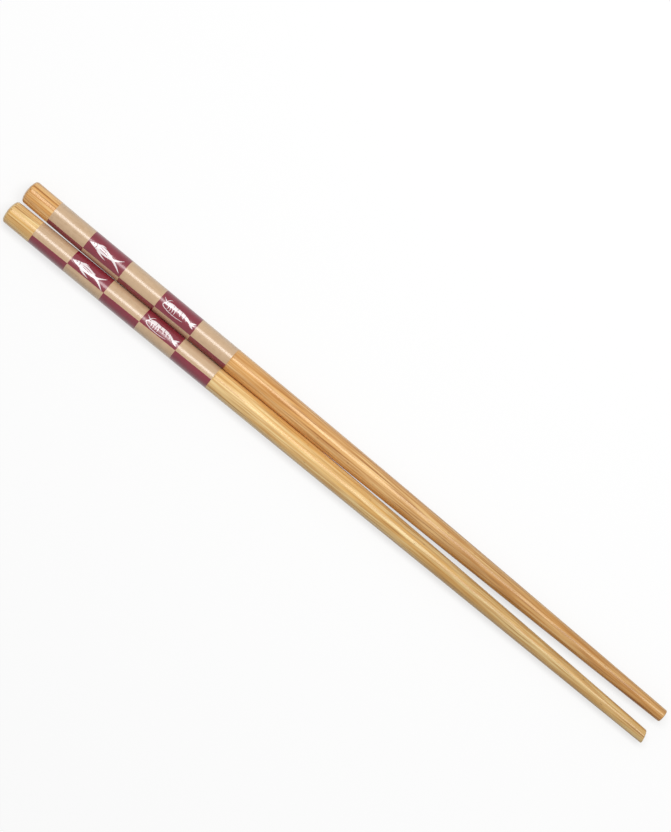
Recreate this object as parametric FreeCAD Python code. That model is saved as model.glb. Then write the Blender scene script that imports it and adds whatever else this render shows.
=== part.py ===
import FreeCAD, Part
import os
from math import radians, tan
from FreeCAD import Vector

# A pair of round bamboo chopsticks, lying side by side as they are set on a table.
# Millimetres. X runs from the heads (the thick ends) to the tips, Y across the pair and Z up.
# The origin is at the middle of the pair's footprint, on the table.

# Sizes that both sticks share; places are measured from the head along the stick
length = 225.0
head_diameter = 6.85
full_at = 40.0
full_diameter = 7.10
shoulder_at = 106.0
shoulder_diameter = 6.85
tip_diameter = 3.65

# The domed head, and how far its rim and the rim of the tip are eased
dome_radius = 8.2
head_rim_radius = 1.0
tip_rim_radius = 0.35

# How close the two handles lie, and how far down the handle a sprung head reaches
pair_gap = 0.06
head_spring_reach = 30.0

# What differs from stick to stick: the side of the middle it lies on, how much shorter it was
# sawn at the head, how late its taper falls away, how far its ends have sprung away from its
# mate, and the slant of its tip
front = {
    "side": -1,
    "head_set_back": 0.0,
    "taper_power": 1.3,
    "head_spring": 0.0,
    "tip_spring": 0.93,
    "tip_slant": 15.0,
}
back = {
    "side": 1,
    "head_set_back": 0.6,
    "taper_power": 1.5,
    "head_spring": 0.24,
    "tip_spring": 0.22,
    "tip_slant": 0.0,
}

# How late the swell and both springs gather along the stick
swell_power = 2.0
head_spring_power = 2.0
tip_spring_power = 1.5

# The blank's waste beyond each end, how many spaces lie between the rings that its swelling
# head and its taper are drawn through, and how many arcs make a ring
end_waste = 1.0
head_spaces = 4
taper_spaces = 10
ring_arcs = 8

along = Vector(1, 0, 0)
upright = Vector(0, 0, 1)


def seat(s):
    """How far the axis at s lies from the table, and from the mate: the handle's straight flank."""
    fall = (full_diameter - shoulder_diameter) / 2 / (shoulder_at - full_at)
    return full_diameter / 2 - fall * (s - full_at)


def way_to_tip(s):
    """How far s has come along the taper: 0 at the shoulder and on the handle, 1 at the tip."""
    return max(0.0, s - shoulder_at) / (length - shoulder_at)


def radius(stick, s):
    """The stick's radius at s: it swells from the head, runs straight, then tapers to the tip."""
    if s < full_at:
        return (full_diameter - (full_diameter - head_diameter) * (1 - s / full_at) ** swell_power) / 2
    fall = seat(length) - tip_diameter / 2
    return seat(s) - fall * way_to_tip(s) ** stick["taper_power"]


def axis_point(stick, s):
    """The middle of the stick at s: on the table, beside its mate, its ends sprung outwards."""
    spring = stick["head_spring"] * max(0.0, 1 - s / head_spring_reach) ** head_spring_power
    spring += stick["tip_spring"] * way_to_tip(s) ** tip_spring_power
    return Vector(s, stick["side"] * (pair_gap / 2 + seat(s) + spring), seat(s))


def ring(centre, ring_radius):
    """A round section of the stick, in equal arcs so that the skin over it stays even."""
    turn = 360 / ring_arcs
    arcs = [Part.makeCircle(ring_radius, centre, along, i * turn, (i + 1) * turn) for i in range(ring_arcs)]
    return Part.Wire(arcs)


def stretch(stick, start, end, spaces):
    """One stretch of the long round body, drawn smoothly through evenly spaced rings."""
    places = [start + (end - start) * i / spaces for i in range(spaces + 1)]
    return Part.makeLoft([ring(axis_point(stick, s), radius(stick, s)) for s in places], True, False)


def turned_blank(stick):
    """The whole round body: the swelling head, the straight handle, and the sprung taper."""
    head = stretch(stick, stick["head_set_back"] - end_waste, full_at, head_spaces)
    handle = stretch(stick, full_at, shoulder_at, 1)
    taper = stretch(stick, shoulder_at, length + end_waste, taper_spaces)
    return head.fuse([handle, taper])


def head_cutting(stick):
    """What rounding the head takes away: a disc with the dome's ball left out of it."""
    crown = axis_point(stick, stick["head_set_back"])
    before = along * (2 * end_waste)
    disc = Part.makeCylinder(head_diameter, dome_radius + before.Length, crown - before, along)
    return disc.cut(Part.makeSphere(dome_radius, crown + along * dome_radius))


def tip_cutting(stick):
    """What the saw takes off the tip: a slanted cut leaves the side away from the mate longest."""
    end = axis_point(stick, length)
    side = 4 * tip_diameter
    block = Part.makeBox(side, side, side, Vector(0, -side / 2, -side / 2))
    block.rotate(Vector(0, 0, 0), upright, -stick["side"] * stick["tip_slant"])
    set_back = tip_diameter / 2 * tan(radians(stick["tip_slant"]))
    block.translate(Vector(length - set_back, end.y, end.z))
    return block


def rim(shape, end_x):
    """The edges round one end of a stick, without the long seams down its sides."""
    reach = head_diameter / 2
    boxes = [(edge, edge.BoundBox) for edge in shape.Edges]
    return [edge for edge, box in boxes if abs(box.Center.x - end_x) < reach and box.XLength < reach]


def chopstick(stick):
    """One stick: turned, domed at its head, sawn at its tip, and eased round both rims."""
    body = turned_blank(stick).cut([head_cutting(stick), tip_cutting(stick)])
    body = body.makeFillet(head_rim_radius, rim(body, 0.0))
    return body.makeFillet(tip_rim_radius, rim(body, length)).Solids[0]


pair = {"front_chopstick": chopstick(front), "back_chopstick": chopstick(back)}

footprint = Part.makeCompound(list(pair.values())).optimalBoundingBox(False)
to_origin = Vector(-footprint.Center.x, -footprint.Center.y, -footprint.ZMin)

os.makedirs("parts", exist_ok=True)
for name, stick in pair.items():
    stick.translate(to_origin)
    stick.exportStep("parts/" + name + ".step")
    print(name, "is", stick.ShapeType, "valid", stick.isValid(), "volume", round(stick.Volume, 1), "mm3")
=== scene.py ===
# %% [markdown]
# # A pair of bamboo chopsticks
#
# Two round bamboo sticks lie side by side, seen from straight above. Each has a domed head, a
# straight handle with a checkered print round it, and a long taper to a blunt tip. The solids that
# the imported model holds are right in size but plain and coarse, so here each stick is drawn again
# finely on the same lines, and then gets its print, its grain and its lacquer.

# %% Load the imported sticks
import math
import bmesh
import bpy
import numpy as np
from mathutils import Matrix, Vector, geometry


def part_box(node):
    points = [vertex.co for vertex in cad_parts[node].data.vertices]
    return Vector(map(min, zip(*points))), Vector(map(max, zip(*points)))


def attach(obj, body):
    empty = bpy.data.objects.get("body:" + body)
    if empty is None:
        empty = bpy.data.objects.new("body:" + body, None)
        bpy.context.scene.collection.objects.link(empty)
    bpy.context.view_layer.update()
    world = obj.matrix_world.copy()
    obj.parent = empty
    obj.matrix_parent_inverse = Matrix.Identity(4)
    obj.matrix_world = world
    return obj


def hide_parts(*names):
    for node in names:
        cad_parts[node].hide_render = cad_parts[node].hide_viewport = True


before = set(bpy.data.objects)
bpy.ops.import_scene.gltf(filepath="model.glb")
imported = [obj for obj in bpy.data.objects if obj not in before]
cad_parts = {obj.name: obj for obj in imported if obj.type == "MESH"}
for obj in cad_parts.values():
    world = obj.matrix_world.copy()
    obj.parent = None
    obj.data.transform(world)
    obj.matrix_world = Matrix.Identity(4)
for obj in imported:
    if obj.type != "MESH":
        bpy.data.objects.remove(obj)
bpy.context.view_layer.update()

# %% [markdown]
# ## Sizes of a stick
#
# A chopstick is turned from one strip of bamboo, so its whole shape is a radius and a middle that
# change along its length. The place along a stick is measured from the head of the longer one.
# The handle swells a little, runs straight down to the shoulder, and then tapers. Thin sticks spring
# as they dry, so the tips stand slightly apart. Blender counts in metres, so every size is written
# in millimetres and multiplied by `mm`.

# %% Sizes and places
mm = 0.001

stick_length = 225.0 * mm
head_diameter = 6.85 * mm
full_at = 40.0 * mm
full_diameter = 7.10 * mm
shoulder_at = 106.0 * mm
shoulder_diameter = 6.85 * mm
tip_diameter = 3.65 * mm
dome_radius = 8.2 * mm
head_rim_radius = 1.0 * mm
tip_rim_radius = 0.35 * mm
pair_gap = 0.06 * mm
head_spring_reach = 30.0 * mm

# How late the swell and both springs gather along the stick
swell_power = 2
head_spring_power = 2
tip_spring_power = 1.5

# What differs from stick to stick
front = {
    "name": "front",
    "side": -1,
    "set_back": 0.0,
    "taper_power": 1.3,
    "head_spring": 0.0,
    "tip_spring": 0.93 * mm,
    "tip_slant": math.radians(15),
}
back = {
    "name": "back",
    "side": 1,
    "set_back": 0.6 * mm,
    "taper_power": 1.5,
    "head_spring": 0.24 * mm,
    "tip_spring": 0.22 * mm,
    "tip_slant": 0.0,
}

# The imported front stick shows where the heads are, and its outer flank where the pair's middle is
front_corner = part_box("front_chopstick")[0]
head_x = front_corner.x
middle_y = front_corner.y + pair_gap / 2 + full_diameter
print("head at x", round(head_x / mm, 2), "and the pair's middle at y", round(middle_y / mm, 2), "mm")

# %% [markdown]
# ## The line and the thickness of a stick
#
# Four short formulas carry the whole shape: how high the straight handle holds its middle above the
# table, how far a place has come along the taper, how thick the stick is there, and where its middle
# runs. They take one place or a whole array of places, so the same lines serve the sticks and the
# film that is wrapped round them.

# %% Middle and radius along a stick
def seat(s):
    """How far the middle lies from the table and from the mate, on the straight line of the handle."""
    fall = (full_diameter - shoulder_diameter) / 2 / (shoulder_at - full_at)
    return full_diameter / 2 - fall * (s - full_at)


def way_to_tip(s):
    """0 on the handle and at the shoulder, 1 at the tip."""
    return np.clip((s - shoulder_at) / (stick_length - shoulder_at), 0, 1)


def radius(stick, s):
    """The stick's radius: it swells from the head, runs straight, then tapers to the tip."""
    before_full = np.clip(1 - s / full_at, 0, 1)
    swell = (full_diameter - (full_diameter - head_diameter) * before_full**swell_power) / 2
    taper = seat(s) - (seat(stick_length) - tip_diameter / 2) * way_to_tip(s) ** stick["taper_power"]
    return np.where(s < full_at, swell, taper)


def middle(stick, s):
    """The point in the middle of the stick, its ends sprung away from the mate."""
    spring = stick["head_spring"] * np.clip(1 - s / head_spring_reach, 0, 1) ** head_spring_power
    spring = spring + stick["tip_spring"] * way_to_tip(s) ** tip_spring_power
    across = middle_y + stick["side"] * (pair_gap / 2 + seat(s) + spring)
    return np.stack([head_x + s, across, seat(s)], axis=-1)


print("radius at the tip", round(float(radius(front, stick_length)) / mm, 3), "mm")

# %% [markdown]
# ## Where the print sits
#
# The pattern round the handle is a heat-transfer film: a sheet a few hundredths of a millimetre
# thick, rolled on hot, and then lacquered over together with the bare wood. It holds ten panels,
# five along the stick and two round it, maroon and beige in turn. Its two edges meet in a seam, which
# drifts a few degrees because the film went on slightly askew. No two films are rolled on alike, so
# each stick keeps its own start, its own seam and its own place for the figures. Turns are counted
# from the top of the stick towards the back.

# %% Panels of the print
row_lengths = [12.2 * mm, 12.65 * mm, 12.35 * mm, 12.55 * mm, 12.5 * mm]
row_ends = np.concatenate([[0], np.cumsum(row_lengths)])
film_length = float(row_ends[-1])
film_round = math.pi * full_diameter

front["film_start"] = 9.8 * mm
front["seam"] = math.radians(-20)
front["seam_drift"] = math.radians(10.5)
front["figure_turn"] = math.radians(30)
back["film_start"] = 10.3 * mm
back["seam"] = math.radians(-43)
back["seam_drift"] = math.radians(7.5)
back["figure_turn"] = math.radians(45)
print("film", round(film_length / mm, 1), "mm long and", round(film_round / mm, 1), "mm round")

# %% [markdown]
# ## Lacquer
#
# Clear lacquer adds a few hundredths of a millimetre all over the bare wood, which is just enough
# for the two handles to touch. Where the film lies, the drawn skin stays that much lower, so that the
# film fills the step and ends flush.

# %% Radius with the lacquer
lacquer = 0.03 * mm


def lacquered(stick, s):
    """The radius with the lacquer on it, which is left out under the film."""
    from_start = s - stick["film_start"]
    return radius(stick, s) + np.where((from_start > 0) & (from_start < film_length), 0, lacquer)


print("lacquered handle", round(2 * float(lacquered(front, shoulder_at)) / mm, 2), "mm at the shoulder")

# %% [markdown]
# ## Profile from crown to tip
#
# The head is sanded to a shallow dome and its rim is eased; the tip is sawn off and its rim is
# broken with a touch of sandpaper. Both ends are arcs that run smoothly into the body, so the whole
# outline is written as one list of rings. A ring is a place and a radius, as on a lathe. A screw
# modifier could spin such an outline, but these sticks bend slightly, so each ring is set on the
# stick's own middle instead.

# %% Rings of a stick
# How many rings draw the dome, the rim round it, the rim of the tip and the tip's flat face
dome_rings = 14
rim_rings = 11
tip_rim_rings = 8
tip_face_rings = 6
ring_step = 0.75 * mm
recess_step = 0.01 * mm


def body_places(stick, rim_at):
    """Even steps down the body, with a close pair of rings at each end of the film for the step there."""
    even = np.arange(rim_at + ring_step, stick_length - tip_rim_radius - ring_step / 2, ring_step)
    film_ends = [stick["film_start"], stick["film_start"] + film_length]
    recess = [place + step for place in film_ends for step in (-recess_step, recess_step)]
    return np.sort(np.concatenate([even, recess]))


def profile(stick):
    """(places, radii) of all rings, from the crown of the head to the middle of the tip's face."""
    start = stick["set_back"]

    # Each rim's arc turns about a middle one rim radius in from the flank; the dome meets it smoothly
    rim_middle = float(lacquered(stick, start + head_rim_radius)) - head_rim_radius
    dome_turn = math.asin(rim_middle / (dome_radius - head_rim_radius))
    rim_at = start + dome_radius - (dome_radius - head_rim_radius) * math.cos(dome_turn)
    tip_middle = tip_diameter / 2 + lacquer - tip_rim_radius

    over_dome = np.linspace(0, dome_turn, dome_rings)
    over_rim = np.linspace(dome_turn, math.pi / 2, rim_rings + 1)[1:]
    down_body = body_places(stick, rim_at)
    over_tip_rim = np.linspace(math.pi / 2, 0, tip_rim_rings)
    in_face = np.linspace(tip_middle, 0, tip_face_rings + 1)[1:]

    places = np.concatenate([
        start + dome_radius * (1 - np.cos(over_dome)),
        rim_at - head_rim_radius * np.cos(over_rim),
        down_body,
        stick_length - tip_rim_radius + tip_rim_radius * np.cos(over_tip_rim),
        np.full(tip_face_rings, stick_length),
    ])
    radii = np.concatenate([
        dome_radius * np.sin(over_dome),
        rim_middle + head_rim_radius * np.sin(over_rim),
        lacquered(stick, down_body),
        tip_middle + tip_rim_radius * np.sin(over_tip_rim),
        in_face,
    ])
    return places, radii


print("rings in a stick:", len(profile(front)[0]))

# %% [markdown]
# ## Points of the skin
#
# Each ring becomes a circle of points round the stick's middle. The tip of the front stick was sawn
# at a slant, so its last few millimetres lean over gradually: the rings there stay rings, and no
# cut is needed.

# %% Points on every ring
ring_points = 96
slant_reach = 4.0 * mm


def smooth_step(share):
    """A ramp from 0 to 1 that starts and ends gently."""
    share = np.clip(share, 0, 1)
    return share * share * (3 - 2 * share)


def skin_points(stick, places, radii):
    """Every point of every ring, with the slanted tip leaning over."""
    turns = np.arange(ring_points) * 2 * math.pi / ring_points
    outward = np.stack([np.zeros(ring_points), np.sin(turns), np.cos(turns)], axis=-1)
    points = middle(stick, places)[:, None, :] + radii[:, None, None] * outward[None, :, :]
    lean = smooth_step((places - stick_length + slant_reach) / slant_reach) * math.tan(stick["tip_slant"])
    from_axis = stick["side"] * radii[:, None] * np.sin(turns)[None, :]
    points[:, :, 0] += lean[:, None] * (from_axis - tip_diameter / 2)
    return points


print("rings, points on each, and x, y, z:", skin_points(front, *profile(front)).shape)

# %% [markdown]
# ## A map for baking
#
# The skin carries a flat map of itself, `OFBake`, for the day when the finish is baked into a
# picture. A stick is thirty times longer than it is thick, so its body is cut into three lanes that
# lie side by side and fill the square. The dome of the head and the face of the tip are discs beside
# them. The map is as large as the real skin, in millimetres, and is then divided by its own side.

# %% Places on the bake map of a stick
bake_side = 80.0 * mm
bake_lanes = 3
lane_gap = 1.0 * mm
lane_pitch = math.pi * full_diameter + lane_gap
lane_start = 1.5 * mm
dome_disc_at = 10.0 * mm
face_disc_at = 20.0 * mm
discs_from_top = 4.0 * mm


def lane_place(down_lane, turn, lane):
    """Where a point of the body lies on its lane: how far down it, and how far round the stick."""
    along = down_lane + lane_start
    across = lane * lane_pitch + turn * full_diameter / 2 + lane_gap
    return along / bake_side, across / bake_side


def disc_place(centre, ring_radius, turn):
    """Where a point of the head's dome or of the tip's face lies on its disc."""
    along = centre + ring_radius * math.sin(turn)
    across = bake_side - discs_from_top + ring_radius * math.cos(turn)
    return along / bake_side, across / bake_side


def face_on_bake_map(corners, radii, runs):
    """The map places of one face, from its (ring, point) corners and the way down to every ring."""
    ring = corners[0][0]
    first_of_tip_face = len(radii) - tip_face_rings - 1
    turns = [step * 2 * math.pi / ring_points for _, step in corners]
    if ring < dome_rings - 1:
        return [disc_place(dome_disc_at, radii[i], turn) for (i, _), turn in zip(corners, turns)]
    if ring >= first_of_tip_face:
        return [disc_place(face_disc_at, radii[i], turn) for (i, _), turn in zip(corners, turns)]
    lane_length = runs[first_of_tip_face] / bake_lanes
    face_middle = (runs[ring] + runs[ring + 1]) / 2
    lane = min(int(face_middle // lane_length), bake_lanes - 1)
    return [lane_place(runs[i] - lane * lane_length, turn, lane) for (i, _), turn in zip(corners, turns)]


print("lanes on the bake map lie", round(lane_pitch / mm, 1), "mm apart")

# %% [markdown]
# ## The skin of a stick
#
# Neighbouring rings are joined by four-sided faces. The crown of the head and the middle of the
# tip's face are single points, so the faces that meet there are triangles. `from_pydata` takes the
# points and, for each face, the numbers of its corners.

# %% Skin of a stick
def face_corners(ring, step, last):
    """The (ring, point) corners of the face between a ring and the next one."""
    around = [(ring, step), (ring + 1, step), (ring + 1, step + 1), (ring, step + 1)]
    if ring == 0:
        return around[:3]
    if ring == last - 1:
        return [around[0], around[1], around[3]]
    return around


def corner_number(ring, step, last):
    """The number of a point in the mesh: the two ends are single points, all else is rings."""
    if ring == 0:
        return 0
    if ring == last:
        return 1 + (last - 1) * ring_points
    return 1 + (ring - 1) * ring_points + step % ring_points


def stick_mesh(stick):
    """The closed mesh of a stick, with its bake map."""
    places, radii = profile(stick)
    points = skin_points(stick, places, radii)
    last = len(places) - 1
    corners = [points[0, 0].tolist()] + points[1:last].reshape(-1, 3).tolist() + [points[last, 0].tolist()]
    faces = [face_corners(ring, step, last) for ring in range(last) for step in range(ring_points)]

    # The way down the outline is counted from the edge of the dome, where the first lane begins
    runs = np.concatenate([[0], np.cumsum(np.hypot(np.diff(places), np.diff(radii)))])
    runs = runs - runs[dome_rings - 1]
    on_map = [place for face in faces for place in face_on_bake_map(face, radii, runs)]

    mesh = bpy.data.meshes.new(stick["name"] + "_stick")
    mesh.from_pydata(corners, [], [[corner_number(i, j, last) for i, j in face] for face in faces])
    mesh.uv_layers.new(name="OFBake").data.foreach_set("uv", np.array(on_map).ravel())
    mesh.shade_smooth()
    return mesh


front_mesh = stick_mesh(front)
back_mesh = stick_mesh(back)
print("faces of a stick:", len(front_mesh.polygons))

# %% [markdown]
# ## The sticks in the scene
#
# A mesh shows once an object holds it and the scene holds the object. Each drawn stick rides with
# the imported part, and stands in for the plain stick there.

# %% Both sticks in place
def place_in_scene(mesh):
    """Makes the object of a mesh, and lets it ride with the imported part."""
    piece = bpy.data.objects.new(mesh.name, mesh)
    bpy.context.scene.collection.objects.link(piece)
    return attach(piece, "root")


front_stick = place_in_scene(front_mesh)
back_stick = place_in_scene(back_mesh)
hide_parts("front_chopstick")
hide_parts("back_chopstick")
print("sticks in the scene:", front_stick.name, "and", back_stick.name)

# %% [markdown]
# ## Leaves for the figures
#
# The film is drawn flat first, as the printer drew it, and is wrapped round the stick afterwards, so
# every figure on it keeps its real size. The figures are made of leaves. A leaf is a stroke that
# bends once and changes its width on the way, like the mark of a brush, so one helper draws body,
# fins, whiskers and tail alike. A curve object with a bevel could draw such a stroke too, but here
# only the flat outline is wanted.

# %% Outline of a leaf
leaf_steps = 12
least_half_width = 0.01


def leaf(start, bend, end, widths):
    """The outline, in millimetres, of a stroke from start to end, with its width at both and midway."""
    t = np.linspace(0, 1, leaf_steps + 1)[:, None]
    spine = (1 - t) ** 2 * np.array(start) + 2 * t * (1 - t) * np.array(bend) + t**2 * np.array(end)
    heading = np.gradient(spine, axis=0)
    heading /= np.linalg.norm(heading, axis=1)[:, None]
    sideways = np.stack([-heading[:, 1], heading[:, 0]], axis=1)
    first, midway, final = widths
    half = (first * (1 - t) * (1 - 2 * t) + midway * 4 * t * (1 - t) + final * t * (2 * t - 1)) / 2
    half = np.maximum(half, least_half_width)
    return np.concatenate([spine + sideways * half, (spine - sideways * half)[::-1]])


print("points round a leaf:", len(leaf((0, 0), (1, 1), (2, 0), (0.1, 0.5, 0.1))))

# %% [markdown]
# ## A fish
#
# Two of the maroon panels carry a small white figure, left unprinted so that the white ground shows.
# The first is a plain fish: a body, a forked tail and three fins. Its eye, its gill and the lines on
# its side are leaves as well, in maroon, laid over the white. Its head is at 0, and x runs down the
# stick.

# %% Fish
def fish():
    """(white leaves, maroon leaves) of a fish that swims towards the head of the stick."""
    white = [
        leaf((0.6, 0.0), (4.2, 0.5), (8.6, -0.15), (0.1, 1.9, 0.4)),
        leaf((8.1, -0.1), (9.7, -0.4), (11.9, -1.9), (0.5, 0.5, 0.05)),
        leaf((8.1, -0.1), (9.5, 0.1), (11.2, 1.7), (0.45, 0.45, 0.05)),
        leaf((3.4, 0.9), (4.0, 1.5), (5.2, 1.35), (0.5, 0.3, 0.05)),
        leaf((3.6, -0.5), (4.8, -1.25), (6.8, -1.5), (0.7, 0.4, 0.05)),
        leaf((6.8, 0.3), (7.3, 0.65), (7.9, 0.7), (0.3, 0.2, 0.05)),
    ]
    maroon = [
        leaf((2.3, 0.95), (3.1, 0.2), (2.5, -0.5), (0.05, 0.24, 0.05)),
        leaf((3.5, 0.5), (5.4, 0.65), (7.2, 0.1), (0.05, 0.2, 0.05)),
        leaf((3.6, 0.05), (5.0, 0.0), (6.8, -0.15), (0.05, 0.24, 0.05)),
        leaf((1.5, 0.35), (1.7, 0.37), (1.9, 0.39), (0.15, 0.3, 0.15)),
    ]
    return white, maroon


print("leaves in the fish, white and maroon:", [len(leaves) for leaves in fish()])

# %% [markdown]
# ## A prawn
#
# The second figure is a plain prawn, with two short whiskers and a long one swept back under its
# body. What it has several of, such as legs, paddles, tail lobes and the joints of its shell, is
# drawn by a short loop each.

# %% Prawn
def prawn():
    """(white leaves, maroon leaves) of a prawn with its head towards the head of the stick."""
    white = [
        leaf((1.6, -0.1), (3.2, 0.75), (5.2, 0.5), (0.3, 1.1, 0.9)),
        leaf((4.9, 0.5), (8.6, 0.9), (10.6, -0.35), (0.9, 0.8, 0.35)),
        leaf((2.3, 0.45), (1.5, 0.7), (0.8, 1.3), (0.4, 0.22, 0.05)),
        leaf((2.0, 0.3), (2.0, 1.3), (3.2, 1.9), (0.3, 0.18, 0.06)),
        leaf((1.8, 0.1), (0.6, -0.9), (3.4, -1.35), (0.22, 0.2, 0.16)),
        leaf((3.3, -1.35), (6.0, -1.7), (8.6, -1.2), (0.16, 0.14, 0.08)),
    ]
    for lobe in (-1, 0, 1):
        fold = (11.1, -0.3 + 0.35 * lobe)
        white.append(leaf((10.3, -0.25), fold, (12.0, -0.1 + 0.85 * lobe), (0.2, 0.5, 0.08)))
    for leg in range(4):
        x = 2.9 + 0.75 * leg
        white.append(leaf((x, 0.1), (x + 0.5, -0.5), (x + 0.2, -1.15), (0.25, 0.18, 0.06)))
    for paddle in range(3):
        x = 6.6 + 1.1 * paddle
        white.append(leaf((x, 0.3), (x + 0.5, -0.15), (x + 0.5, -0.55), (0.3, 0.22, 0.08)))
    maroon = [leaf((2.15, 0.25), (2.33, 0.29), (2.5, 0.33), (0.12, 0.28, 0.12))]
    for joint in range(4):
        x = 4.4 + 1.35 * joint
        maroon.append(leaf((x - 0.15, 1.2), (x + 0.25, 0.55), (x - 0.15, -0.1), (0.08, 0.13, 0.08)))
    return white, maroon


print("leaves in the prawn, white and maroon:", [len(leaves) for leaves in prawn()])

# %% [markdown]
# ## Which ink goes where
#
# Every spot of the film has one ink. It is that of its panel, unless a white leaf covers the spot,
# or a maroon one on top. A spot lies inside an outline if a line drawn from it to one side crosses
# the outline an odd number of times.

# %% Ink of a spot
fish_row = 1
prawn_row = 3
maroon_ink, beige_ink, white_ink = 0, 1, 2


def figures_on(stick):
    """(white leaves, maroon leaves) of both figures in their panels, in metres on the flat film."""
    white = []
    maroon = []
    for row, drawing in ((fish_row, fish()), (prawn_row, prawn())):
        shift = np.array([row_ends[row], stick["figure_turn"] * full_diameter / 2])
        white += [outline * mm + shift for outline in drawing[0]]
        maroon += [outline * mm + shift for outline in drawing[1]]
    return white, maroon


def inside(outline, points):
    """Which of the points lie inside a closed outline, by counting crossings."""
    result = np.zeros(len(points), bool)
    for a, b in zip(outline, np.roll(outline, -1, axis=0)):
        spans = (a[1] > points[:, 1]) != (b[1] > points[:, 1])
        if spans.any():
            crossing = a[0] + (points[spans, 1] - a[1]) * (b[0] - a[0]) / (b[1] - a[1])
            result[spans] ^= points[spans, 0] < crossing
    return result


def ink_at(spots, white, maroon):
    """The ink of each spot on the flat film."""
    row = np.searchsorted(row_ends, spots[:, 0]) - 1
    half = (spots[:, 1] > film_round / 2).astype(int)
    ink = np.where((row + half) % 2 == 1, maroon_ink, beige_ink)
    for outline in white:
        ink[inside(outline, spots)] = white_ink
    for outline in maroon:
        ink[inside(outline, spots)] = maroon_ink
    return ink


print("maroon leaves on a film:", len(figures_on(front)[1]))

# %% [markdown]
# ## Laying out the film
#
# Blender can fill a flat sheet with triangles that keep to given lines: it takes a grid of points,
# the borders of the panels and the outlines of the figures, and returns a sheet in which no triangle
# crosses an edge of the print. Each triangle then needs only its middle looked at to find its ink.
# A picture wrapped round the stick would be quicker to make, but its edges would blur close up.

# %% Flat sheet of a film
panel_steps_along = 20
panel_steps_round = 36
columns = 2 * panel_steps_round + 1
across_film = np.linspace(0, film_round, columns)

# The filling is asked for the whole sheet as triangles, which is its kind 0, and it merges points
# that lie within this many millimetres
whole_sheet = 0
merge_within = 1e-5


def panel_borders(lines):
    """Pairs of neighbouring grid points that a border joins; lines counts the grid lines round the film."""
    borders = []
    for line in range(0, lines, panel_steps_along):
        borders += [(line * columns + i, line * columns + i + 1) for i in range(columns - 1)]
    for column in (0, panel_steps_round, columns - 1):
        borders += [(line * columns + column, (line + 1) * columns + column) for line in range(lines - 1)]
    return borders


def flat_film(stick):
    """(points, triangles, ink of each triangle) of the film, flat: along the stick, then round it."""
    along = [row_ends[0]]
    for start, end in zip(row_ends, row_ends[1:]):
        along += list(np.linspace(start, end, panel_steps_along + 1)[1:])
    points = [(a, c) for a in along for c in across_film]
    borders = panel_borders(len(along))
    white, maroon = figures_on(stick)
    for outline in white + maroon:
        first = len(points)
        points += [tuple(point) for point in outline]
        borders += [(first + i, first + (i + 1) % len(outline)) for i in range(len(outline))]

    # The filling works in millimetres, because in metres the points would lie too close for it
    in_mm = [Vector((a / mm, c / mm)) for a, c in points]
    filled = geometry.delaunay_2d_cdt(in_mm, borders, [], whole_sheet, merge_within)
    sheet = np.array([tuple(point) for point in filled[0]]) * mm
    triangles = filled[2]
    middles = sheet[np.array(triangles)].mean(axis=1)
    return sheet, triangles, ink_at(middles, white, maroon)


front_sheet = flat_film(front)
back_sheet = flat_film(back)
print("triangles on the front film:", len(front_sheet[1]))

# %% [markdown]
# ## Rolling the film round
#
# The flat sheet is rolled round the stick and stands a hair proud of the bamboo, level with the
# lacquer beside it. A shrinkwrap modifier could press a sheet on the stick too, but it would stretch
# the print at the flanks. Small triangles on a round face can catch the light unevenly, so the film
# gets normals that point straight out of the true round, instead of those of its triangles.

# %% Points of a rolled film
film_height = lacquer
film_depth = 0.03 * mm


def wrapped(stick, sheet, height):
    """The points of the flat sheet, rolled round the stick at a height above the bamboo."""
    place = stick["film_start"] + sheet[:, 0]
    seam = stick["seam"] + stick["seam_drift"] * sheet[:, 0] / film_length
    turn = seam + sheet[:, 1] * 2 / full_diameter
    outward = np.stack([np.zeros(len(sheet)), np.sin(turn), np.cos(turn)], axis=-1)
    out = radius(stick, place) + height
    return middle(stick, place) + out[:, None] * outward


def round_normals(stick, mesh):
    """The direction straight out of the stick at each point, or straight in on the lining."""
    points = np.array([tuple(corner.co) for corner in mesh.vertices])
    place = points[:, 0] - head_x
    away = points - middle(stick, place)
    size = np.linalg.norm(away, axis=1)
    facing = np.where(size > radius(stick, place), 1, -1) / size
    return (away * facing[:, None]).tolist()


print("height of the film above the bamboo:", round(film_height / mm, 3), "mm")

# %% [markdown]
# ## Closing the film
#
# A real film has a thickness, so the drawn one gets one too: both of its ends turn down into the
# wood, and a plain lining runs along its inside. The lining is never seen, so its faces are long and
# few. The film has a bake map of its own: the printed side fills the lower part of the square, and
# all that is hidden shares a thin strip above. One fault is left: on the front film the tip of the
# fish's tail reaches 0.06 mm past the edge of the sheet, so the filling lays about a hundred
# needle-thin triangles along the seam. They are too thin to show, but that film is not closed.

# %% Ends, lining and seam of a film
film_bake_side = 66.0 * mm
film_bake_margin = 1.0 * mm
hidden_strip_at = 40.0 * mm
hidden_squeeze = 8
seam_slip = 0.0005 * mm


def hidden_faces(outer_start):
    """(faces, inks) of both ends and the lining; outer_start is the number of their first point."""
    outer_end = outer_start + columns
    inner_start = outer_end + columns
    inner_end = inner_start + (len(row_ends) - 1) * columns
    faces = []
    inks = []
    for i in range(columns - 1):
        end_ink = beige_ink if i < panel_steps_round else maroon_ink
        faces.append([inner_start + i, inner_start + i + 1, outer_start + i + 1, outer_start + i])
        faces.append([outer_end + i, outer_end + i + 1, inner_end + i + 1, inner_end + i])
        inks += [end_ink, end_ink]
        for row in range(len(row_ends) - 1):
            start = inner_start + row * columns + i
            faces.append([start, start + columns, start + columns + 1, start + 1])
            inks.append(beige_ink)
    return faces, inks


def bake_place(point, hidden):
    """Where a point of the flat film lies on its bake map."""
    along = (point[0] + film_bake_margin) / film_bake_side
    if hidden:
        return along, (point[1] / hidden_squeeze + hidden_strip_at) / film_bake_side
    return along, (point[1] + film_bake_margin) / film_bake_side


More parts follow.
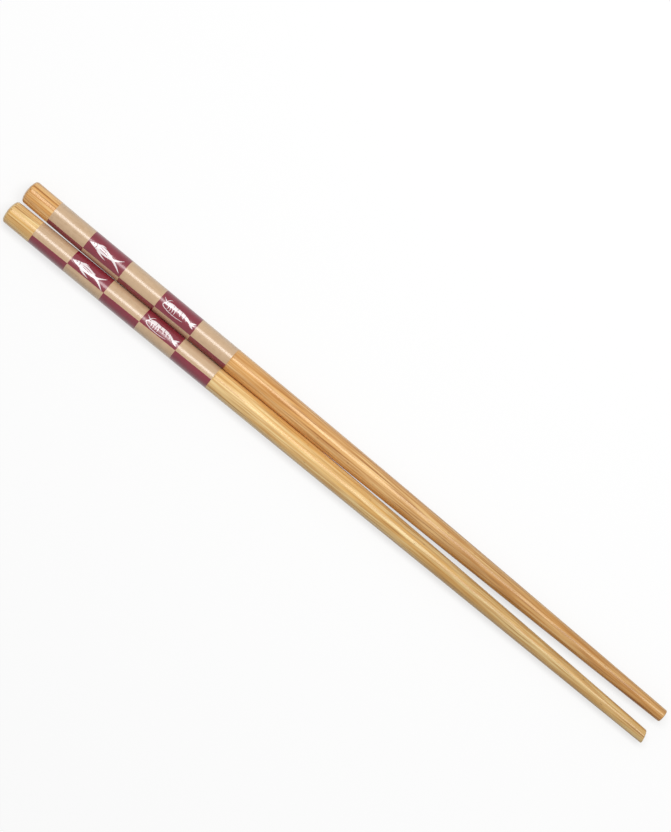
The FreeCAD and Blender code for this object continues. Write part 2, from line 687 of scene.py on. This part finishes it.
def close_seam(mesh):
    """Joins the two edges that meet along the film's seam, and turns every face outwards."""
    work = bmesh.new()
    work.from_mesh(mesh)
    bmesh.ops.remove_doubles(work, verts=work.verts, dist=seam_slip)
    bmesh.ops.recalc_face_normals(work, faces=work.faces)
    work.to_mesh(mesh)
    work.free()


print("hidden faces of a film:", len(hidden_faces(0)[0]))

# %% [markdown]
# ## The film round each stick
#
# The printed sheet, its ends and its lining come together in one mesh. Each face keeps the number of
# its ink, and the inks themselves follow further down as three materials in the same order.

# %% Film round a stick
def film_mesh(stick, sheet, triangles, ink):
    """The mesh of a film with its ends and lining, the ink of each face and its bake map."""
    rims = np.array([(a, c) for a in (0.0, film_length) for c in across_film])
    lining = np.array([(a, c) for a in row_ends for c in across_film])
    flat = np.concatenate([sheet, rims, lining])
    height = np.where(np.arange(len(flat)) < len(sheet) + len(rims), film_height, -film_depth)
    points = wrapped(stick, flat, height)

    hidden, hidden_inks = hidden_faces(len(sheet))
    faces = [list(triangle) for triangle in triangles] + hidden
    inks = list(ink) + hidden_inks
    on_map = [bake_place(flat[corner], corner >= len(sheet)) for face in faces for corner in face]

    mesh = bpy.data.meshes.new(stick["name"] + "_film")
    mesh.from_pydata(points.tolist(), [], faces)
    mesh.polygons.foreach_set("material_index", np.array(inks, dtype=np.int32))
    mesh.uv_layers.new(name="OFBake").data.foreach_set("uv", np.array(on_map).ravel())
    close_seam(mesh)
    mesh.shade_smooth()
    mesh.normals_split_custom_set_from_vertices(round_normals(stick, mesh))
    return mesh


front_film = place_in_scene(film_mesh(front, *front_sheet))
back_film = place_in_scene(film_mesh(back, *back_sheet))
print("faces of a film:", len(front_film.data.polygons))

# %% [markdown]
# ## Colours and nodes
#
# Colours are written as they are seen on a screen, and one function turns them into the linear
# light that the renderer works with. One more function adds a node, sets it, and links it, so that a
# material reads from top to bottom like a recipe. Most sockets are found by their name. Some nodes
# have several of one name, and there a number picks the socket: 0 and 1 are the two values of a Math
# node, and those of a Mix node's colours are noted here.

# %% Helpers for materials
under = 6
over = 7
mixed = 2


def linear(hex_colour):
    """A screen colour such as #E0B275 as linear red, green, blue and alpha."""
    levels = [int(hex_colour[i : i + 2], 16) / 255 for i in (1, 3, 5)]
    return [v / 12.92 if v <= 0.04045 else ((v + 0.055) / 1.055) ** 2.4 for v in levels] + [1.0]


def add(tree, kind, inputs=None, **settings):
    """Adds a node. Each input is given by name or number, as a value or as the output that feeds it."""
    node = tree.nodes.new(kind)
    for name, value in settings.items():
        setattr(node, name, value)
    for name, value in (inputs or {}).items():
        if isinstance(value, bpy.types.NodeSocket):
            tree.links.new(value, node.inputs[name])
        else:
            node.inputs[name].default_value = value
    return node


def new_material(name):
    """An empty material with its node tree."""
    material = bpy.data.materials.new(name)
    material.use_nodes = True
    material.node_tree.nodes.clear()
    return material


print("linear level of mid grey:", round(linear("#808080")[0], 3))

# %% [markdown]
# ## Fibre of the bamboo
#
# Bamboo has no rings like wood. Its flesh is all fine straight fibre, which shows as soft lines
# along the stick. A noise texture has round grains, but when the place it is read at is squeezed
# along the stick, they are drawn out into such lines. A noise stays near its middle level most of
# the time, so only the range around the middle is spread out from none to full.

# %% Lines along the stick
# Real fibres are far too fine to show, so these are drawn about half a millimetre apart
fibre_spacing, fibre_run = 0.46, 16.0
fibre_low, fibre_high = 0.38, 0.62
fibre_detail = 3.0


def grain_scale(spacing, run):
    """The scale at which a pattern's grain is spacing thick and run long, in millimetres."""
    return 1 / (run * mm), 1 / (spacing * mm), 1 / (spacing * mm)


def lines_along(tree, place, spacing, run, shift=(0, 0, 0)):
    """Soft lines along the stick, spacing thick and run long; shift makes each stick its own."""
    drawn_out = {"Vector": place, "Location": shift, "Scale": grain_scale(spacing, run)}
    line_at = add(tree, "ShaderNodeMapping", drawn_out).outputs["Vector"]
    grains = {"Vector": line_at, "Scale": 1.0, "Detail": fibre_detail}
    return add(tree, "ShaderNodeTexNoise", grains).outputs["Fac"]


print("fibre lines", fibre_spacing, "mm apart and about", fibre_run, "mm long")

# %% [markdown]
# ## Bundles and pores
#
# The flesh is pierced by stiff bundles of fibre, half a millimetre thick, that run the whole length
# of the culm. A stick is turned slightly across them, so on its side each shows as a brown streak a
# few centimetres long, and on its sawn ends as a dot. One solid pattern gives both: Voronoi cells
# that are small across the stick and very long along it, so that cutting through them at any angle
# looks right. Some bundles also open in a short dark pore, drawn with cells of the same kind.

# %% Bundles and pores of the bamboo
bundle_spacing, bundle_run = 0.60, 40.0
bundle_core, bundle_edge = 0.16, 0.42
bundle_strength = 0.7
bundle_randomness = 0.9
pore_spacing, pore_run = 0.70, 2.8
pore_core, pore_edge = 0.10, 0.18
pore_strength = 0.55
cells_without_pore = 0.78


def bundles(tree, place, shift, fibre):
    """How strongly a bundle shows: most near the middle of its cell, and broken up by the fibre."""
    drawn_out = {"Vector": place, "Location": shift, "Scale": grain_scale(bundle_spacing, bundle_run)}
    cell_at = add(tree, "ShaderNodeMapping", drawn_out).outputs["Vector"]
    bunched = {"Vector": cell_at, "Scale": 1.0, "Randomness": bundle_randomness}
    from_middle = add(tree, "ShaderNodeTexVoronoi", bunched).outputs["Distance"]
    fading = {
        "Value": from_middle,
        "From Min": bundle_core,
        "From Max": bundle_edge,
        "To Min": bundle_strength,
        "To Max": 0.0,
    }
    whole = add(tree, "ShaderNodeMapRange", fading, interpolation_type="SMOOTHSTEP").outputs["Result"]
    return add(tree, "ShaderNodeMath", {0: whole, 1: fibre}, operation="MULTIPLY").outputs["Value"]


def pores(tree, place, shift):
    """How strongly a pore shows: a small spot in about every fifth cell."""
    drawn_out = {"Vector": place, "Location": shift, "Scale": grain_scale(pore_spacing, pore_run)}
    cell_at = add(tree, "ShaderNodeMapping", drawn_out).outputs["Vector"]
    cells = add(tree, "ShaderNodeTexVoronoi", {"Vector": cell_at, "Scale": 1.0}).outputs
    fading = {
        "Value": cells["Distance"],
        "From Min": pore_core,
        "From Max": pore_edge,
        "To Min": pore_strength,
        "To Max": 0.0,
    }
    spots = add(tree, "ShaderNodeMapRange", fading).outputs["Result"]
    chance = {0: cells["Color"], 1: cells_without_pore}
    chosen = add(tree, "ShaderNodeMath", chance, operation="GREATER_THAN").outputs["Value"]
    return add(tree, "ShaderNodeMath", {0: spots, 1: chosen}, operation="MULTIPLY").outputs["Value"]


print("bundles", bundle_spacing, "mm apart and", bundle_run, "mm long")

# %% [markdown]
# ## Wear of the lacquer
#
# The handle's lacquer is satin, and a little uneven. Towards the tip it is rubbed thin by use, so
# there the stick is rougher. The wood's colour is also made darker towards the tip. Both follow the
# place along the stick.

# %% Darker tip and roughness
# The wood's colour is multiplied by this grey towards the tip, which makes the tip darker
tip_darkening = "#E3E0DA"
darker_from, darker_to = 100 * mm, 160 * mm
handle_roughness = 0.28
tip_roughness = 0.47
patch_low, patch_high = 0.3, 0.7
smoother, rougher = -0.04, 0.06


def darker_towards_tip(tree, along, colour):
    """The colour of the wood, made darker towards the tip."""
    fading = {"Value": along, "From Min": head_x + darker_from, "From Max": head_x + darker_to}
    tip_nearness = add(tree, "ShaderNodeMapRange", fading).outputs["Result"]
    tip_darkening_mix = {"Factor": tip_nearness, under: colour, over: linear(tip_darkening)}
    return add(tree, "ShaderNodeMix", tip_darkening_mix, data_type="RGBA", blend_type="MULTIPLY").outputs[mixed]


def worn_roughness(tree, along, bands):
    """The roughness of the lacquer: more towards the tip, and patchy with the bands of the wood."""
    wearing = {
        "Value": along,
        "From Min": head_x + shoulder_at,
        "From Max": head_x + stick_length,
        "To Min": handle_roughness,
        "To Max": tip_roughness,
    }
    worn = add(tree, "ShaderNodeMapRange", wearing).outputs["Result"]
    patching = {
        "Value": bands,
        "From Min": patch_low,
        "From Max": patch_high,
        "To Min": smoother,
        "To Max": rougher,
    }
    patches = add(tree, "ShaderNodeMapRange", patching).outputs["Result"]
    return add(tree, "ShaderNodeMath", {0: worn, 1: patches}, operation="ADD").outputs["Value"]


print("roughness", handle_roughness, "on the handle and", tip_roughness, "at the tip")

# %% [markdown]
# ## Lacquered bamboo
#
# The bamboo is turned, sanded and dipped in a thin clear lacquer. To the eye that gives warm straw
# wood with fine brown streaks under a satin gloss, and the fibres just beneath the gloss shine too,
# in their own straw colour. The colour is built in layers, each laid over the ones before by its own
# share: the flesh, pale bands in it, the fibre, the bundles and the pores. The two sticks come from
# two culms, so each has its own browns and its own place in the patterns.

# %% Bamboo
band_spacing, band_run = 1.1, 40.0
band_low, band_high = 0.36, 0.64
fibre_strength = 0.7
pore_colour = "#6E4520"
sheen_colour = "#FFEBC0"
grain_depth = 0.01 * mm


def bamboo(name, flesh, pale, dark, bundle, shift):
    """Turned and lacquered bamboo, from the colours of its flesh, pale bands, dark fibre and bundles."""
    material = new_material(name)
    tree = material.node_tree
    place = add(tree, "ShaderNodeTexCoord").outputs["Object"]
    along = add(tree, "ShaderNodeSeparateXYZ", {"Vector": place}).outputs["X"]

    bands = lines_along(tree, place, band_spacing, band_run, shift)
    band_range = {"Value": bands, "From Min": band_low, "From Max": band_high}
    paleness = add(tree, "ShaderNodeMapRange", band_range).outputs["Result"]
    lines = lines_along(tree, place, fibre_spacing, fibre_run, shift)
    fibre_range = {"Value": lines, "From Min": fibre_low, "From Max": fibre_high}
    fibre = add(tree, "ShaderNodeMapRange", fibre_range).outputs["Result"]
    darkening = {0: fibre, 1: fibre_strength}
    darkness = add(tree, "ShaderNodeMath", darkening, operation="MULTIPLY").outputs["Value"]
    streaks = bundles(tree, place, shift, fibre)
    spots = pores(tree, place, shift)

    # Each layer is laid over the ones before, by its own share
    colour = linear(flesh)
    for share, tint in ((paleness, pale), (darkness, dark), (streaks, bundle), (spots, pore_colour)):
        layer = {"Factor": share, under: colour, over: linear(tint)}
        colour = add(tree, "ShaderNodeMix", layer, data_type="RGBA").outputs[mixed]

    relief = add(tree, "ShaderNodeMath", {0: streaks, 1: fibre}, operation="ADD").outputs["Value"]
    bump = add(tree, "ShaderNodeBump", {"Height": relief, "Distance": grain_depth})
    finish = {
        "Base Color": darker_towards_tip(tree, along, colour),
        "Roughness": worn_roughness(tree, along, bands),
        "IOR": 1.5,
        "Specular Tint": linear(sheen_colour),
        "Coat Weight": 0.33,
        "Coat Roughness": 0.2,
        "Coat IOR": 1.5,
        "Normal": bump.outputs["Normal"],
    }
    surface = add(tree, "ShaderNodeBsdfPrincipled", finish)
    add(tree, "ShaderNodeOutputMaterial", {"Surface": surface.outputs["BSDF"]})
    return material


front_bamboo = bamboo("front_bamboo", "#EABA71", "#F8DFA6", "#C8914E", "#9E6930", (3.1, 7.7, 1.3))
back_bamboo = bamboo("back_bamboo", "#DFA45D", "#F8D093", "#BA7A3A", "#905226", (11.9, 2.2, 5.8))
front_stick.data.materials.append(front_bamboo)
back_stick.data.materials.append(back_bamboo)
print("bamboo:", front_bamboo.name, "and", back_bamboo.name)

# %% [markdown]
# ## Printed and lacquered film
#
# The inks are opaque, and a clear lacquer lies over them, so the film shines more than the bare
# bamboo. The film is so thin that the fibre beneath it still shows as faint lines along the stick,
# in the gloss and, a little, in the ink. A mottle makes the ink look printed, not poured. The dots
# of the real print are too fine to show, so the mottle is drawn about a millimetre wide.

# %% Inks of the film
mottle_spacing = 1.2
ink_low, ink_high = 0.3, 0.7
shows_through = 0.0015 * mm


def film_ink(name, colour, shade):
    """One ink under its lacquer, shading a little from its colour to a darker one."""
    material = new_material(name)
    tree = material.node_tree
    place = add(tree, "ShaderNodeTexCoord").outputs["Object"]

    lines = lines_along(tree, place, fibre_spacing, fibre_run)
    fibre_range = {"Value": lines, "From Min": ink_low, "From Max": ink_high}
    fibre = add(tree, "ShaderNodeMapRange", fibre_range).outputs["Result"]
    grains = {"Vector": place, "Scale": 1 / (mottle_spacing * mm)}
    dots = add(tree, "ShaderNodeTexNoise", grains).outputs["Fac"]
    mottle_range = {"Value": dots, "From Min": ink_low, "From Max": ink_high}
    mottle = add(tree, "ShaderNodeMapRange", mottle_range).outputs["Result"]
    shading = add(tree, "ShaderNodeMath", {0: fibre, 1: mottle}, operation="MULTIPLY").outputs["Value"]
    shades = {"Factor": shading, under: linear(colour), over: linear(shade)}
    shaded = add(tree, "ShaderNodeMix", shades, data_type="RGBA").outputs[mixed]

    bump = add(tree, "ShaderNodeBump", {"Height": fibre, "Distance": shows_through})
    finish = {
        "Base Color": shaded,
        "Roughness": 0.30,
        "IOR": 1.5,
        "Coat Weight": 0.7,
        "Coat Roughness": 0.22,
        "Coat IOR": 1.5,
        "Normal": bump.outputs["Normal"],
    }
    surface = add(tree, "ShaderNodeBsdfPrincipled", finish)
    add(tree, "ShaderNodeOutputMaterial", {"Surface": surface.outputs["BSDF"]})
    return material


# In the order of maroon_ink, beige_ink and white_ink
inks = [
    film_ink("maroon_ink", "#861C33", "#711327"),
    film_ink("beige_ink", "#CFAF8B", "#BE9D79"),
    film_ink("white_ink", "#F4ECEC", "#E4D6D8"),
]
for film in (front_film, back_film):
    for material in inks:
        film.data.materials.append(material)
print("inks:", [material.name for material in inks])

# %% [markdown]
# ## Floor and background
#
# The sticks lie on a plain white studio table, a large sheet of matt card. If the card were white to
# the light as well, it would throw much of it back up on the sticks. So the card is grey for the
# light that bounces, and a glow that only the camera and reflections see lifts it to the white of the
# photograph. The soft shadow of the sticks stays on it.

# %% White card
floor_side = 6.0
card_colour = "#909090"
card_lift = 0.71


def seen(tree):
    """1 where the camera, a reflection or a clear material looks, and 0 for the light that bounces."""
    path = add(tree, "ShaderNodeLightPath").outputs
    looked_at = path["Is Camera Ray"]
    for way in ("Is Glossy Ray", "Is Transmission Ray"):
        either = {0: looked_at, 1: path[way]}
        looked_at = add(tree, "ShaderNodeMath", either, operation="MAXIMUM").outputs["Value"]
    return looked_at


def white_card():
    """Matt card that takes shadows, with the glow laid over it."""
    material = new_material("white_card")
    tree = material.node_tree
    card = add(tree, "ShaderNodeBsdfDiffuse", {"Color": linear(card_colour)})
    lift = add(tree, "ShaderNodeMath", {0: seen(tree), 1: card_lift}, operation="MULTIPLY")
    glow = add(tree, "ShaderNodeEmission", {"Strength": lift.outputs["Value"]})
    both = add(tree, "ShaderNodeAddShader", {0: card.outputs["BSDF"], 1: glow.outputs["Emission"]})
    add(tree, "ShaderNodeOutputMaterial", {"Surface": both.outputs["Shader"]})
    return material


corner_sides = ((-1, -1), (1, -1), (1, 1), (-1, 1))
floor_corners = [(x * floor_side / 2, y * floor_side / 2, 0) for x, y in corner_sides]
floor_mesh = bpy.data.meshes.new("floor")
floor_mesh.from_pydata(floor_corners, [], [(0, 1, 2, 3)])
floor_mesh.materials.append(white_card())
floor = bpy.data.objects.new("floor", floor_mesh)
bpy.context.scene.collection.objects.link(floor)
print("floor", floor_side, "m wide")

# %% [markdown]
# ## Studio light
#
# The photograph shows one bright line down each stick, slightly to the far side of its crest: a long
# narrow softbox, parallel to the sticks. All other light is even. So there are one strip of light and
# an evenly lit room. Each gets a share of the light that falls on the table, and the two shares add
# up to one, so a colour renders about as bright as it is written. To know how many watts the strip
# needs for its share, its light on the table is added up spot by spot.

# %% Strip light
room_share = 0.35
strip_share = 1.0 - room_share
strip_lean = math.radians(18)
strip_length, strip_width = 0.62, 0.22
strip_distance = 0.62
strip_spots = 24


def light_on_table(away, lean):
    """The light that one watt of the strip gives the middle of the table."""
    gathered = 0.0
    for i in range(strip_spots):
        for j in range(strip_spots):
            u = ((i + 0.5) / strip_spots - 0.5) * strip_length
            v = ((j + 0.5) / strip_spots - 0.5) * strip_width
            spot = away * strip_distance + Vector((u, v * math.cos(lean), -v * math.sin(lean)))
            reach = spot.length

            # Light falls off with the square of its reach, and with the slant at both of its ends
            gathered += spot.z * spot.dot(away) / reach**4 / strip_spots**2
    return gathered / math.pi


strip_away = Vector((0, math.sin(strip_lean), math.cos(strip_lean)))
strip_data = bpy.data.lights.new("strip", "AREA")
strip_data.shape = "RECTANGLE"
strip_data.size = strip_length
strip_data.size_y = strip_width
strip_data.energy = strip_share * math.pi / light_on_table(strip_away, strip_lean)
strip = bpy.data.objects.new("strip", strip_data)
strip.location = strip_away * strip_distance
strip.rotation_euler = (-strip_lean, 0, 0)
bpy.context.scene.collection.objects.link(strip)
print("strip light", round(strip_data.energy, 2), "W")

# %% [markdown]
# ## Room
#
# The room gives its light evenly from all round. What the camera sees behind the table is another
# matter: there the background takes the level of the card far away, which only the room lights, so
# that the edge of the table melts into it from every side.

# %% Room
far_card = linear(card_colour)[0] * room_share + card_lift
world = bpy.data.worlds.new("room")
world.use_nodes = True
tree = world.node_tree
tree.nodes.clear()
room = add(tree, "ShaderNodeBackground", {"Color": linear("#FFFFFF"), "Strength": room_share})
beyond = add(tree, "ShaderNodeBackground", {"Color": linear("#FFFFFF"), "Strength": far_card})
choice = {0: seen(tree), 1: room.outputs["Background"], 2: beyond.outputs["Background"]}
shown = add(tree, "ShaderNodeMixShader", choice)
add(tree, "ShaderNodeOutputWorld", {"Surface": shown.outputs["Shader"]})
bpy.context.scene.world = world
print("room light", room_share, "and level of the card far away", round(far_card, 2))

# %% [markdown]
# ## Camera
#
# The camera hangs straight above the table with a long lens, and is turned so that the sticks run
# from the upper left to the lower right. Its height follows from how much of the table the long side
# of the picture takes in, measured at the height of the sticks.

# %% Camera
lens = 120.0
sensor = 36.0
picture_height = 226.2 * mm
measured_at = 3.5 * mm
camera_turn = math.radians(39.56)
camera_over = (-8.18 * mm, 9.61 * mm)

camera_data = bpy.data.cameras.new("camera")
camera_data.lens = lens
camera_data.sensor_width = sensor
camera = bpy.data.objects.new("camera", camera_data)
camera_height = picture_height * lens / sensor + measured_at
camera.location = (*camera_over, camera_height)
camera.rotation_euler = (0, 0, camera_turn)
bpy.context.scene.collection.objects.link(camera)
bpy.context.scene.camera = camera
bpy.context.scene.view_settings.view_transform = "Standard"
print("camera", round(camera_height, 3), "m above the table")
